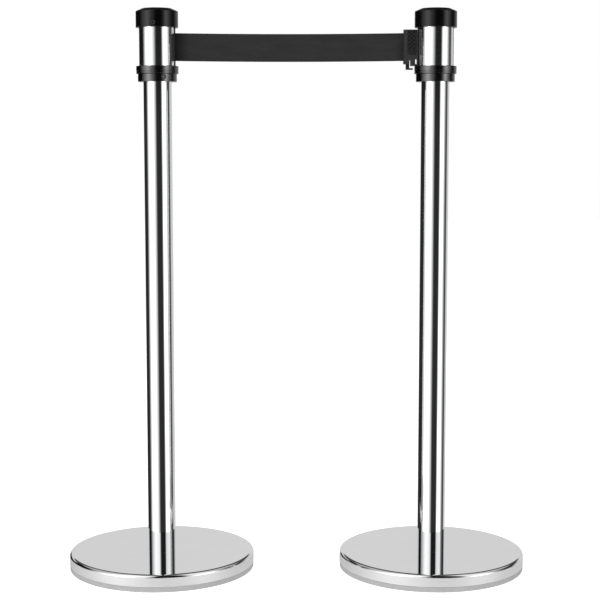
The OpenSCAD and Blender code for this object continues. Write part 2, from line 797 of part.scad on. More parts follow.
end_post() collar_screw();  // end_post_collar_screw
end_post() upper_collar();  // end_post_upper_collar
end_post() sleeve();  // end_post_sleeve
end_post() receiver();  // end_post_near_receiver
end_post() rotate(180) receiver();  // end_post_far_receiver
end_post() core();  // end_post_core
end_post() head_plate(insert_in - 4, 0);  // end_post_head_plate
end_post() head_bolts();  // end_post_head_bolts
end_post() cap();  // end_post_cap
end_post() cap_screw();  // end_post_cap_screw
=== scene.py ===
import bmesh
import bpy
import math
import numpy as np
from mathutils import Matrix, Vector


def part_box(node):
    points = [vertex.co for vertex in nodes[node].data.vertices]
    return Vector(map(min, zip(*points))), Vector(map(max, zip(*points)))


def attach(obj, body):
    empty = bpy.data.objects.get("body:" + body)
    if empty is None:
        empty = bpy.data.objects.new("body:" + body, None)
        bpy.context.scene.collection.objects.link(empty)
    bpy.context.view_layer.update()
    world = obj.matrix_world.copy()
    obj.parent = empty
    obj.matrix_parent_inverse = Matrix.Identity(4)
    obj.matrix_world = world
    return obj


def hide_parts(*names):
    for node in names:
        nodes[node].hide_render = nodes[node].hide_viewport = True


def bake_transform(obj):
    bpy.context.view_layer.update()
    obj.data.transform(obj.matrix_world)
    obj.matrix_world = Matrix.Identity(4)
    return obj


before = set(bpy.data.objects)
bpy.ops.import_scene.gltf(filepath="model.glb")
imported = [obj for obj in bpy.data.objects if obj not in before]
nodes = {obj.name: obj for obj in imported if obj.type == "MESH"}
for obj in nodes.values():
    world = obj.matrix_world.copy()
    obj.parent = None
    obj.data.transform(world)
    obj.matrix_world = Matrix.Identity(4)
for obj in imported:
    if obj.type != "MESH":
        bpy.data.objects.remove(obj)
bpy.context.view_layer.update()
print("frame loaded:", len(nodes), "pieces")

# The camera stands at head height of the posts and looks slightly down
camera = {"place": (0.0065, -2.6766, 0.7856), "tilt": 83.85, "lens": 88.32}
eye = bpy.data.cameras.new("studioCamera")
eye.lens, eye.sensor_width, eye.clip_end = camera["lens"], 36, 60
eyeObject = bpy.data.objects.new("studioCamera", eye)
eyeObject.location, eyeObject.rotation_euler = camera["place"], (math.radians(camera["tilt"]), 0, 0)
bpy.context.collection.objects.link(eyeObject)
bpy.context.scene.camera = eyeObject
bpy.context.scene.view_settings.view_transform = "Standard"


# Wraps a socket, so that shader maths reads as an ordinary sum
class Wire:
    def __init__(self, finish, socket):
        self.finish, self.socket = finish, socket

    def math(self, operation, *others):
        return self.finish.node("ShaderNodeMath", {"operation": operation}, dict(enumerate((self,) + others)))

    def swapped(self, operation, other):
        return self.finish.node("ShaderNodeMath", {"operation": operation}, {0: other, 1: self})

    def __add__(self, other): return self.math("ADD", other)
    def __sub__(self, other): return self.math("SUBTRACT", other)
    def __mul__(self, other): return self.math("MULTIPLY", other)
    def __truediv__(self, other): return self.math("DIVIDE", other)
    def __pow__(self, other): return self.math("POWER", other)
    def __neg__(self): return self.math("MULTIPLY", -1)
    def __rsub__(self, other): return self.swapped("SUBTRACT", other)
    def __rtruediv__(self, other): return self.swapped("DIVIDE", other)
    __radd__, __rmul__ = __add__, __mul__

    def sine(self): return self.math("SINE")
    def size(self): return self.math("ABSOLUTE")
    def floor(self): return self.math("FLOOR")

    # 0 below low, 1 above high, an even slope between
    def ramp(self, low, high):
        return self.finish.node("ShaderNodeMapRange", {}, {0: self, 1: low, 2: high, 3: 0.0, 4: 1.0})


# A node tree of a material or of the world, filled through one method
class Finish:
    def __init__(self, name, world=False):
        owner = (bpy.data.worlds if world else bpy.data.materials).new(name)
        owner.use_nodes = True
        self.owner, self.tree = owner, owner.node_tree
        self.tree.nodes.clear()

    def node(self, kind, settings=None, inputs=None, out=0):
        made = self.tree.nodes.new(kind)
        for key, value in (settings or {}).items():
            if key == "stops":  # (position, grey or colour) along a colour ramp
                while len(made.color_ramp.elements) < len(value):
                    made.color_ramp.elements.new(0.5)
                for element, (place, shade) in zip(made.color_ramp.elements, value):
                    element.position = place
                    element.color = (shade,) * 3 + (1,) if np.isscalar(shade) else tuple(shade) + (1,)
            else:
                setattr(made, key, value)
        for key, value in (inputs or {}).items():
            if isinstance(value, Wire):
                self.tree.links.new(value.socket, made.inputs[key])
            else:
                made.inputs[key].default_value = value
        return Wire(self, made.outputs[out])

    def place(self, stretch=(1, 1, 1)):
        spot = self.node("ShaderNodeTexCoord", out="Object")
        return self.node("ShaderNodeMapping", {}, {"Vector": spot, "Scale": stretch})

    def noise(self, vector, scale, detail=3.0, rough=0.5):
        return self.node("ShaderNodeTexNoise", {}, {"Vector": vector, "Scale": scale, "Detail": detail, "Roughness": rough})

    def blendColour(self, amount, first, second):  # each colour is a wire or three numbers
        first, second = (c if isinstance(c, Wire) else tuple(c) + (1,) for c in (first, second))
        return self.node("ShaderNodeMix", {"data_type": "RGBA"}, {0: amount, 6: first, 7: second}, out=2)

    def bump(self, height, strength, distance):
        return self.node("ShaderNodeBump", {}, {"Height": height, "Strength": strength, "Distance": distance})

    # Constants go straight onto the shader's sockets, and the varied ones are wired
    def surface(self, **sockets):
        shader = self.node("ShaderNodeBsdfPrincipled", {}, {key.replace("_", " "): value for key, value in sockets.items()})
        end = self.tree.nodes.new("ShaderNodeOutputMaterial")
        self.tree.links.new(shader.socket, end.inputs["Surface"])
        return self.owner


# Soft studio: tall light strips all round, as (degrees from straight ahead of the camera, brightness)
studio = {
    "strips": [(-180, 0.70), (-160, 0.70), (-156, 0.02), (-97, 0.026), (-88, 0.5), (-78, 0.95), (-66, 1.8), (-48, 3.2), (-36, 1.9),
               (-26, 0.95), (-17, 0.7), (-10, 0.21), (-3, 0.026), (33, 0.026), (41, 0.8), (50, 2.2), (57, 3.3), (66, 1.9),
               (74, 1.0), (84, 0.5), (92, 0.15), (99, 0.07), (112, 0.08), (121, 0.62), (180, 0.70)],
    "stripTop": 32, "stripTopFront": 78, "stripTopBehind": 21,  # the strips end at these heights, in degrees
    "high": [(-180, 0.70), (-136, 0.62), (-128, 0.02), (-97, 0.026), (-88, 0.34), (-70, 0.8), (-50, 1.2), (-17, 1.0),
             (-3, 0.026), (33, 0.026), (41, 0.8), (74, 1.0), (84, 0.34), (99, 0.06), (128, 0.05), (136, 0.62), (180, 0.70)],
    "change": (8.5, 11.5),  # the upper strips take over between these heights
    "corners": (20.5, 22),  # the far corners of the room turn dark between these
    "above": 0.5, "aboveBehind": 0.06, "ceiling": 0.05, "ceilingFrom": 74,  # the walls over the strips, and the ceiling
    "headShade": 0.014,  # the gaps between the strips are darker above eye level
    "backdrop": 1.0,
}


def rise(degrees):
    return math.sin(math.radians(degrees))


def studioSky():
    sky = Finish("softStudio", world=True)
    spot = sky.node("ShaderNodeTexCoord", out="Generated")
    x, y, z = (sky.node("ShaderNodeSeparateXYZ", {}, {0: spot}, out=i) for i in range(3))
    turn = x.math("ARCTAN2", -y) / (2 * math.pi) + 0.5
    low, high = (sky.node("ShaderNodeValToRGB", {"stops": [((a + 180) / 360, v) for a, v in studio[key]]}, {0: turn})
                 for key in ("strips", "high"))
    strips = low + (high - low) * z.ramp(*map(rise, studio["change"])) - z.ramp(0.01, 0.05) * studio["headShade"]
    away = y / ((x * x + y * y) ** 0.5 + 1e-6)  # 1 straight behind, -1 straight in front
    front, behind = (-away).ramp(0.0, 0.25), away.ramp(0.68, 0.78)
    strips = strips * (1 - away.ramp(0.50, 0.58) * z.ramp(*map(rise, studio["corners"])))
    side, ahead, back = (rise(studio[key]) for key in ("stripTop", "stripTopFront", "stripTopBehind"))
    edge = side + front * (ahead - side) - behind * (side - back)
    upper = studio["above"] + behind * (studio["aboveBehind"] - studio["above"])
    ceilingFrom = rise(studio["ceilingFrom"])
    upper = upper + (studio["ceiling"] - upper) * z.ramp(ceilingFrom - 0.01, ceilingFrom + 0.01)
    lit = strips + (upper - strips) * (z - edge).ramp(-0.03, 0.03)
    seen = sky.node("ShaderNodeLightPath", out="Is Camera Ray")
    background = sky.node("ShaderNodeBackground", {}, {"Color": lit + (studio["backdrop"] - lit) * seen, "Strength": 1.0})
    end = sky.tree.nodes.new("ShaderNodeOutputWorld")
    sky.tree.links.new(background.socket, end.inputs["Surface"])
    return sky.owner


bpy.context.scene.world = studioSky()

# Two wide soft lamps, in front and above, that the polished metal doesn't show
lamps = {"frontLeft": ((-1.9, -2.2, 2.4), 2.2, 34), "frontRight": ((2.1, -2.0, 1.6), 2.0, 16), "behind": ((0.3, 2.4, 2.2), 2.2, 24)}
for name, (spot, side, power) in lamps.items():
    lamp = bpy.data.lights.new(name, "AREA")
    lamp.size, lamp.energy = side, power
    lampObject = bpy.data.objects.new(name, lamp)
    lampObject.location = spot
    lampObject.rotation_euler = (Vector((0, 0, 0.5)) - Vector(spot)).to_track_quat("-Z", "Y").to_euler()
    lampObject.visible_glossy = lampObject.visible_camera = False
    bpy.context.collection.objects.link(lampObject)

paleFloor = {"half": 12.0, "drop": 0.0002, "tone": ((0.86, 0.86, 0.86), (0.88, 0.88, 0.88)), "glow": 0.75}


def layFloor():
    v = paleFloor
    made = Finish("paleFloor")
    grain = made.noise(made.place(), 30.0)
    tone = made.blendColour(grain, *v["tone"])
    made.surface(Base_Color=tone, Roughness=grain * 0.1 + 0.8, Specular_IOR_Level=0.0, Emission_Color=tone, Emission_Strength=v["glow"])
    mesh = bpy.data.meshes.new("floor")
    mesh.from_pydata([(i * v["half"], j * v["half"], 0) for i, j in ((-1, -1), (1, -1), (1, 1), (-1, 1))], [], [(0, 1, 2, 3)])
    mesh.materials.append(made.owner)
    floor = bpy.data.objects.new("floor", mesh)
    floor.location.z = -v["drop"]
    floor.visible_glossy = False
    bpy.context.collection.objects.link(floor)


layFloor()
print("studio, lamps and floor ready")


# Metals: two close tones and a haze of fine wear, with a hairline grain that runs along or round the piece
metals = {
    "chrome": dict(tone=((0.93, 0.935, 0.94), (0.88, 0.885, 0.895)), rough=(0.012, 0.04), grain=(700, 700, 30), lift=0.004),
    "headChrome": dict(tone=((0.92, 0.925, 0.93), (0.87, 0.875, 0.885)), rough=(0.10, 0.14), grain=(700, 700, 30), lift=0.006),
    "collarBlack": dict(tone=((0.115, 0.115, 0.117), (0.095, 0.095, 0.097)), rough=(0.17, 0.22), grain=(60, 60, 3000), lift=0.02),
    "polishedSteel": dict(tone=((0.93, 0.93, 0.93), (0.88, 0.88, 0.885)), rough=(0.02, 0.05), grain=(500, 500, 500), lift=0.02),
    "zincSteel": dict(tone=((0.62, 0.64, 0.66), (0.48, 0.50, 0.53)), rough=(0.22, 0.42), grain=(300, 300, 300), lift=0.15),
    "springSteel": dict(tone=((0.30, 0.33, 0.40), (0.20, 0.21, 0.27)), rough=(0.2, 0.35), grain=(60, 60, 900), lift=0.1),
    "bronze": dict(tone=((0.72, 0.46, 0.22), (0.55, 0.33, 0.15)), rough=(0.25, 0.45), grain=(700, 700, 700), lift=0.25),
    "castIron": dict(tone=((0.10, 0.10, 0.105), (0.045, 0.043, 0.042)), rough=(0.5, 0.75), grain=(350, 350, 350), lift=0.6),
    "blackSteel": dict(tone=((0.085, 0.085, 0.087), (0.055, 0.055, 0.057)), rough=(0.25, 0.4), grain=(400, 400, 400), lift=0.2),
}


def metalFinish(name, tone, rough, grain, lift):
    made = Finish(name)
    cloud = made.noise(made.place(), 38.0, 4.0)
    hair = made.noise(made.place(grain), 1.0, 2.0, 0.6)
    made.surface(Base_Color=made.blendColour(cloud, *tone), Metallic=1.0,
                 Roughness=(cloud * 0.6 + hair * 0.4) * (rough[1] - rough[0]) + rough[0],
                 Normal=made.bump(hair, lift, 0.00005))
    return made.owner


# Plastics and rubber: tone varies softly, the grain is a fine moulded texture
plastics = {
    "glossBlack": dict(tone=((0.0010, 0.0010, 0.0011), (0.0018, 0.0018, 0.0019)), rough=(0.18, 0.23), grain=1500, lift=0.01, level=0.32),
    "satinBlack": dict(tone=((0.006, 0.006, 0.0065), (0.010, 0.010, 0.0105)), rough=(0.38, 0.5), grain=2600, lift=0.15, level=0.5),
    "clipPlastic": dict(tone=((0.021, 0.021, 0.0215), (0.028, 0.028, 0.0285)), rough=(0.35, 0.45), grain=2400, lift=0.2, level=0.5),
    "gripRubber": dict(tone=((0.0068, 0.0068, 0.0068), (0.0105, 0.0105, 0.0105)), rough=(0.6, 0.75), grain=3000, lift=0.4, level=0.32),
    # The sheet under the grip pads is darker than the pad rubber: painted shade at the bottoms of the pits
    "gripPitPaintedShade": dict(tone=((0.002, 0.002, 0.002), (0.004, 0.004, 0.004)), rough=(0.7, 0.8), grain=3000, lift=0.3, level=0.2),
    "ringRubber": dict(tone=((0.37, 0.37, 0.37), (0.43, 0.43, 0.43)), rough=(0.55, 0.7), grain=1500, lift=0.4, level=0.4),
}


def plasticFinish(name, tone, rough, grain, lift, level):
    made = Finish(name)
    cloud = made.noise(made.place(), 55.0, 4.0)
    pebble = made.node("ShaderNodeTexVoronoi", {"feature": "SMOOTH_F1"}, {"Vector": made.place(), "Scale": float(grain)})
    fine = made.noise(made.place(), grain * 0.6, 2.0)
    height = pebble * 0.6 + fine * 0.4
    made.surface(Base_Color=made.blendColour(cloud, *tone), Roughness=(cloud * 0.5 + fine * 0.5) * (rough[1] - rough[0]) + rough[0],
                 Specular_IOR_Level=level, Normal=made.bump(height, lift, 0.00006))
    return made.owner


finishes = {name: metalFinish(name, **recipe) for name, recipe in metals.items()}
finishes.update({name: plasticFinish(name, **recipe) for name, recipe in plastics.items()})


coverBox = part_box("belt_post_base_cover")
coverParts = {"side": 0.016, "shoulder": 0.0056, "wall": 0.0012,  # straight side, shoulder radius and sheet thickness
              "polished": ((0.94, 0.94, 0.94), (0.90, 0.90, 0.905)), "satin": (0.645, 0.645, 0.645)}


# The spun cover is mirror polished on top and turns to a fine satin down its side
def coverFinish():
    v = coverParts
    side = coverBox[0].z + v["side"]
    made = Finish("spunCover")
    spot = made.place()
    height = made.node("ShaderNodeSeparateXYZ", {}, {0: spot}, out=2)
    satin = 1 - height.ramp(side - 0.0004, side + 0.0012)
    cloud = made.noise(spot, 30.0, 4.0)
    rings = made.noise(made.place((30, 30, 5200)), 1.0, 2.0)
    made.surface(Base_Color=made.blendColour(satin, made.blendColour(cloud, *v["polished"]), v["satin"]),
                 Metallic=1 - satin * 0.74, Roughness=satin * 0.50 + cloud * 0.015 + 0.008,
                 Normal=made.bump(rings * satin, 0.06, 0.00004))
    return made.owner


# Woven polyester: cords run along the belt, the weft crosses them under and over in turn
weave = {"cord": 0.0021, "weft": 0.0016, "tone": ((0.010, 0.010, 0.0104), (0.0345, 0.0345, 0.035)), "lift": 0.4,
         "mouth": (0.004, 0.032), "mouthPaintedShade": 0.25}  # the first stretch past the head is darker: painted shade where the head shades the belt


def webbingFinish():
    made = Finish("wovenWebbing")
    spot = made.node("ShaderNodeUVMap", {"uv_map": "weave"})
    along, across = (made.node("ShaderNodeSeparateXYZ", {}, {0: spot}, out=i) for i in range(2))
    cord = across / weave["cord"]
    ridge = (cord * math.pi).sine().size()
    pick = ((along / weave["weft"] + cord.floor() * 0.5) * math.pi).sine().size()
    strand = made.noise(made.node("ShaderNodeMapping", {}, {"Vector": spot, "Scale": (900, 5200, 1)}), 1.0, 3.0)
    worn = made.noise(made.node("ShaderNodeMapping", {}, {"Vector": spot, "Scale": (14, 60, 1)}), 1.0, 3.0)
    height = ridge * 0.7 + pick * 0.45 + strand * 0.3
    # The colour is darker between the cords and where the weft dips: painted shade in the hollows of the weave; the
    # strand and worn noise is the yarn's own tone
    shade = (ridge * 0.4 + pick * 0.2 + strand * 0.35) * (worn * 1.1 + 0.4)
    # Painted shade: over the first stretch past the head the colour is darkened, standing in for the head's shade on
    # the belt
    clearOfShade = along.ramp(*weave["mouth"])
    shade = shade * (clearOfShade * (1 - weave["mouthPaintedShade"]) + weave["mouthPaintedShade"]) - (1 - clearOfShade) * 0.2
    made.surface(Base_Color=made.blendColour(shade, *weave["tone"]), Roughness=strand * 0.15 + 0.72, Specular_IOR_Level=0.12,
                 Sheen_Weight=0.02, Sheen_Roughness=0.4, Normal=made.bump(height, weave["lift"], 0.0002))
    return made.owner


finishes["spunCover"] = coverFinish()
finishes["webbing"] = webbingFinish()
print("finishes:", ", ".join(finishes))


# A closed mesh from points and faces: soft corners below the crease angle, sharp above it
def meshPiece(name, points, faces, finish, body=None, stands=(), crease=38):
    used = np.unique(np.concatenate([np.ravel(group) for group in faces if len(group)]))
    mesh = bpy.data.meshes.new(name)
    loops = [face for group in faces if len(group) for face in np.searchsorted(used, group).tolist()]
    mesh.from_pydata(points.reshape(-1, 3)[used].tolist(), [], loops)
    mesh.update()
    mesh.polygons.foreach_set("use_smooth", np.ones(len(mesh.polygons), bool))
    mesh.set_sharp_from_angle(angle=math.radians(crease))
    mesh.materials.append(finishes[finish])
    piece = bpy.data.objects.new(name, mesh)
    bpy.context.collection.objects.link(piece)
    if stands:
        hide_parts(*stands)
    if body:
        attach(piece, body)
    return piece


# Quads between neighbours of an index grid; where a row or column has shrunk to a point the quad becomes a triangle
def gridFaces(index, closeRows, closeCols):
    a = np.vstack((index, index[:1])) if closeRows else index
    a = np.hstack((a, a[:, :1])) if closeCols else a
    quads = np.stack((a[:-1, :-1], a[1:, :-1], a[1:, 1:], a[:-1, 1:]), -1).reshape(-1, 4)
    whole = (quads != np.roll(quads, 1, 1)).all(1)
    thin = quads[~whole]
    same = thin == np.roll(thin, 1, 1)
    thin = thin[same.sum(1) == 1]
    drop = (thin == np.roll(thin, 1, 1)).argmax(1)
    three = np.array([[(d + k) % 4 for k in (1, 2, 3)] for d in range(4)])[drop]
    return quads[whole], np.take_along_axis(thin, three, 1)


# Outline through corners (r, z, radius): each corner p becomes the arc about p + (a + b) R / (|a + b| sin(h)), h half the angle
# between the sides a and b, and a support point beyond each end of the arc keeps the flats flat
def roundedOutline(corners, steps=5, hold=0.0003):
    given = np.array(corners, float)
    p, radius = given[:, :2], given[:, 2:]
    a, b = np.roll(p, 1, 0) - p, np.roll(p, -1, 0) - p
    la, lb = np.linalg.norm(a, axis=1, keepdims=True), np.linalg.norm(b, axis=1, keepdims=True)
    a, b = a / la, b / lb
    whole = np.arccos(np.clip((a * b).sum(1, keepdims=True), -1, 1))
    radius = np.minimum(radius, 0.42 * np.minimum(la, lb) * np.tan(whole / 2))
    reach = radius / np.tan(whole / 2)
    middle = p + (a + b) / np.linalg.norm(a + b, axis=1, keepdims=True) * radius / np.sin(whole / 2)
    first, last = p + a * reach - middle, p + b * reach - middle
    sweep = np.pi - whole
    t = np.linspace(0, 1, steps + 1)[:, None, None]
    arc = middle + (np.sin((1 - t) * sweep) * first + np.sin(t * sweep) * last) / np.sin(sweep)
    start, end = p + a * (reach + hold), p + b * (reach + hold)
    return np.concatenate((start[None], arc, end[None])).transpose(1, 0, 2).reshape(-1, 2)


# A turned piece: every outline point (r, z) goes round the axis as (r cos t, r sin t, z); the outline runs so that faces look outwards
def turned(name, corners, centre, finish, body, stands, around=224, angles=(), heights=(), dent=None, steps=5):
    outline = roundedOutline(corners, steps)
    for low, high, r, count in heights:  # extra rings down the outer wall where a recess needs them
        spot = np.flatnonzero((abs(outline[:, 0] - r) < 1e-6) & (outline[:, 1] > high))
        spot = spot[outline[spot, 1].argmin()]
        outline = np.insert(outline, spot + 1, np.stack((np.full(count, r), np.linspace(high, low, count)), 1), 0)
    t = np.unique(np.round(np.concatenate((np.linspace(0, 2 * np.pi, around, endpoint=False), *angles)) % (2 * np.pi), 7))
    r, z = outline[:, 0][:, None], outline[:, 1][:, None]
    points = np.stack(np.broadcast_arrays(r * np.cos(t), r * np.sin(t), z), -1)
    if dent:
        points = dent(points)
    points = points + np.array((centre[0], centre[1], 0))
    index = np.arange(points.shape[0] * points.shape[1]).reshape(points.shape[:2])
    index = np.where(r < 1e-7, index[:, :1], index)
    return meshPiece(name, points, gridFaces(index, True, True), finish, body, stands)


# A round screw recess: a point nearer to the screw's axis than its radius is drawn in along that axis by the depth, over a short slope
def recess(angle, height, radius, depth, outer):
    out = np.array((math.cos(angle), math.sin(angle), 0))
    def sink(points):
        fromAxis = points - np.array((0, 0, height))
        along = fromAxis @ out
        away = np.linalg.norm(fromAxis - along[..., None] * out, axis=-1)
        ease = np.clip((radius + 0.0002 - away) / 0.0004, 0, 1)
        ease = ease * ease * (3 - 2 * ease) * (np.linalg.norm(points[..., :2], axis=-1) > outer - 1e-4) * (along > 0)
        return points - (depth * ease)[..., None] * out
    return sink


# A tube with straight-sided windows: cells of a grid in (angle, height) are left out, and every open cell side gets a rim between
# the outer wall (r cos t, r sin t, z) and the inner one
def windowedTube(name, centre, outer, wall, low, high, windows, finish, body, stands, around=240):
    edges = [e for w in windows for e in w[:2]]
    t = np.unique(np.round(np.concatenate((np.linspace(0, 2 * np.pi, around, endpoint=False), edges,
                                           [e + d for e in edges for d in (-0.008, 0.008)])) % (2 * np.pi), 7))
    z = np.unique(np.round([low, high, *[h for w in windows for h in w[2:]],
                            *[h + d for w in windows for h in w[2:] for d in (-0.0004, 0.0004)], *np.linspace(low, high, 9)], 7))
    r = np.array((outer, outer - wall))[:, None, None]
    grid = np.stack(np.broadcast_arrays(r * np.cos(t), r * np.sin(t), z[:, None]), -1) + np.array((centre[0], centre[1], 0))
    tMid, zMid = (t + (np.roll(t, -1) - t) % (2 * np.pi) / 2)[None], ((z[:-1] + z[1:]) / 2)[:, None]
    full = np.ones((len(z) - 1, len(t)), bool)
    for a, b, c, d in windows:
        full &= ~(((tMid - a) % (2 * np.pi) < (b - a)) & (zMid > c) & (zMid < d))
    out, inn = np.arange(grid[..., 0].size).reshape(2, len(z), len(t))
    right = lambda a: np.roll(a, -1, 1)
    quad = lambda where, *corners: np.stack([c[where] for c in corners], -1)
    o, i, oR, iR = out, inn, right(out), right(inn)
    first, last = full & ~np.roll(full, 1, 1), full & ~np.roll(full, -1, 1)
    edge = np.zeros((1, len(t)), bool)
    above, below = full & ~np.vstack((full[1:], edge)), full & ~np.vstack((edge, full[:-1]))
    faces = [quad(full, o[:-1], oR[:-1], oR[1:], o[1:]), quad(full, i[:-1], i[1:], iR[1:], iR[:-1]),
             quad(first, o[:-1], o[1:], i[1:], i[:-1]), quad(last, oR[:-1], iR[:-1], iR[1:], oR[1:]),
             quad(above, o[1:], oR[1:], iR[1:], i[1:]), quad(below, o[:-1], i[:-1], iR[:-1], oR[:-1])]
    return meshPiece(name, grid, faces, finish, body, stands)


# A machined or moulded piece keeps its worked-out form and gets softened edges: a merged copy with flat faces joined, then a bevel
def softened(node, name, body, finish, width, segments=3):
    mesh = nodes[node].data.copy()
    work = bmesh.new()
    work.from_mesh(mesh)
    bmesh.ops.remove_doubles(work, verts=work.verts, dist=2e-6)
    bmesh.ops.dissolve_limit(work, angle_limit=math.radians(0.6), verts=work.verts, edges=work.edges)
    work.to_mesh(mesh)
    work.free()
    mesh.name = name
    mesh.materials.clear()
    mesh.materials.append(finishes[finish])
    mesh.polygons.foreach_set("use_smooth", np.ones(len(mesh.polygons), bool))
    mesh.set_sharp_from_angle(angle=math.radians(30))
    piece = bpy.data.objects.new(name, mesh)
    bpy.context.collection.objects.link(piece)
    bevel = piece.modifiers.new("softEdges", "BEVEL")
    bevel.width, bevel.segments, bevel.limit_method, bevel.angle_limit = width, segments, "ANGLE", math.radians(40)
    bevel.harden_normals = True
    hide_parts(node)
    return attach(piece, body)


# Everything of a post that is turned, in metres; the sizes that other pieces share come from their boxes
postParts = {
    "fit": 0.00015, "sharp": 0.0001, "soft": 0.0002, "lip": 0.0003,  # clearance between mating pieces, and small edge radii
    "ringWide": 0.016, "ringInset": 0.0004, "ringEdge": 0.0013, "ringBore": (0.001, 0.0006),  # edge radii of the bore
    "boltHole": 0.0065, "poleWall": 0.0012,
    "lowerCollarEdge": 0.0006, "upperCollarEdge": 0.0009, "ledge": (0.006, 0.007),  # the pole ends at a ledge this wide, this high up
    "grooves": (0.0018, 0.0046), "grooveWide": 0.0009, "grooveDeep": 0.0007, "grooveEdge": 0.00018,
    "sleeveWall": 0.0015, "sleeveSeat": 0.0025, "slotWide": 0.013,
    "capChamfer": (0.011, 0.005), "capEdge": 0.0016, "capRim": 0.0007, "capWall": 0.004, "capHollow": (0.005, 0.009, 0.002),
    "screwHole": 0.0042, "screwDeep": 0.0016, "screwSpread": 0.17, "screwReach": 0.0045,  # half the finer patch round a screw
}


def capOutline(r, low, high):
    v = postParts
    inside, (wide, tall), (step, drop, edge) = r - v["capWall"], v["capChamfer"], v["capHollow"]
    roof = high - v["capWall"]
    return [(inside, low, v["lip"]), (inside, high - drop, edge), (inside - step, roof, edge), (0, roof, 0), (0, high, 0),
            (r - wide, high, v["capEdge"]), (r, high - tall, v["capEdge"]), (r, low, v["capRim"])]


def lowerCollarOutline(r, poleR, low, high):
    v = postParts
    bore, edge = poleR + v["fit"], v["lowerCollarEdge"]
    return [(bore, low, v["lip"]), (bore, high, v["lip"]), (r, high, edge), (r, low, edge)]


def upperCollarOutline(r, poleR, sleeveR, low, high, seam):
    v = postParts
    bore, spigot, seat, soft = poleR + v["fit"], sleeveR - v["sleeveWall"] - v["fit"], sleeveR + v["fit"], v["soft"]
    throat, ledge, sunk = poleR - v["ledge"][0], low + v["ledge"][1], seam - v["sleeveSeat"]
    grooves = [(r - deep, low + g + up, v["grooveEdge"]) for g in reversed(v["grooves"])
               for deep, up in ((0, v["grooveWide"]), (v["grooveDeep"], v["grooveWide"]), (v["grooveDeep"], 0), (0, 0))]
    return [(bore, low, v["lip"]), (bore, ledge, soft), (throat, ledge, soft), (throat, high, soft), (spigot, high, v["lip"]),
            (spigot, sunk, soft), (seat, sunk, soft), (seat, seam, soft), (r, seam, v["upperCollarEdge"]),
            *grooves, (r, low, v["upperCollarEdge"])]


def post(side, body):
    v = postParts
    pole, cover, ring = (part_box(side + part) for part in ("_pole", "_base_cover", "_floor_ring"))
    middle = (pole[0] + pole[1]) / 2
    poleR, baseR = (pole[1].x - pole[0].x) / 2, (cover[1].x - cover[0].x) / 2
    c, floorTop, foot = (middle.x, middle.y), cover[1].z, cover[0].z
    wall, shoulder = coverParts["wall"], coverParts["shoulder"]
    bore, rim = baseR - v["ringWide"], baseR - v["ringInset"]
    turned(side + "_ring", [(bore, 0, v["ringBore"][0]), (bore, ring[1].z, v["ringBore"][1]), (rim, ring[1].z, v["ringEdge"]),
                            (rim, 0, v["ringEdge"])],
           c, "ringRubber", body, (side + "_floor_ring",))
    turned(side + "_cover", [(v["boltHole"], floorTop - wall, v["sharp"]), (v["boltHole"], floorTop, v["sharp"]),
                             (baseR, floorTop, shoulder), (baseR, foot, v["lip"]), (baseR - wall, foot, v["lip"]),
                             (baseR - wall, floorTop - wall, shoulder - wall)],
           c, "spunCover", body, (side + "_base_cover",), around=360, steps=16)
    turned(side + "_tube", [(poleR - v["poleWall"], pole[0].z, v["sharp"]), (poleR - v["poleWall"], pole[1].z, v["sharp"]),
                            (poleR, pole[1].z, v["soft"]), (poleR, pole[0].z, v["soft"])],
           c, "chrome", body, (side + "_pole",), around=256)
    for part, screw, finish in (("_lower_collar", "_collar_screw", "collarBlack"), ("_cap", "_cap_screw", "glossBlack")):
        low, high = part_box(side + part)
        r = (high.x - low.x) / 2
        seat = (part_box(side + screw)[0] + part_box(side + screw)[1]) / 2
        at = math.atan2(seat.y - c[1], seat.x - c[0])
        near = np.linspace(at - v["screwSpread"], at + v["screwSpread"], 56)
        corners = capOutline(r, low.z, high.z) if part == "_cap" else lowerCollarOutline(r, poleR, low.z, high.z)
        turned(side + part + "_turned", corners, c, finish, body, (side + part,), around=192, angles=(near,),
               heights=((seat.z - v["screwReach"], seat.z + v["screwReach"], r, 34),),
               dent=recess(at, seat.z, v["screwHole"], v["screwDeep"], r))
    (low, high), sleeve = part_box(side + "_upper_collar"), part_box(side + "_sleeve")
    sleeveR, r, seam = (sleeve[1].x - sleeve[0].x) / 2, (high.x - low.x) / 2, sleeve[0].z + v["sleeveSeat"]
    turned(side + "_upper_collar_turned", upperCollarOutline(r, poleR, sleeveR, low.z, high.z, seam),
           c, "collarBlack", body, (side + "_upper_collar",), around=192)
    half = math.asin(v["slotWide"] / 2 / sleeveR)
    windowedTube(side + "_sleeve_tube", c, sleeveR, v["sleeveWall"], sleeve[0].z, sleeve[1].z,
                 [(a - half, a + half, seam, sleeve[1].z - v["sleeveSeat"]) for a in (0, math.pi)],
                 "headChrome", body, (side + "_sleeve",))


for side in ("belt_post", "end_post"):
    post(side, side)
print("posts turned")

# Moulded and machined pieces that show: (piece, body, finish, slot, edge)
mouldings = {
    "belt_post_outlet_guide": ("outlet_lips", "belt_post", "satinBlack", "black_matte", 0.0005),
    "belt_post_receiver": ("belt_post_catch", "belt_post", "satinBlack", "black_matte", 0.0004),
    "end_post_near_receiver": ("near_catch", "end_post", "satinBlack", "black_matte", 0.0004),
    "end_post_far_receiver": ("far_catch", "end_post", "satinBlack", "black_matte", 0.0004),
    "clip_body": ("clip_shell", "clip", "clipPlastic", "clip_plastic", 0.0009),
    "clip_cover": ("clip_back", "clip", "clipPlastic", "clip_plastic", 0.0009),
    "clip_rail": ("clip_lugs", "clip", "satinBlack", "black_matte", 0.0003),
    "lock_lever": ("release_lever", "lever", "satinBlack", "black_matte", 0.0005),
}
for node, (name, body, finish, slotName, width) in mouldings.items():
    softened(node, name, body, finish, width)
print("mouldings softened")


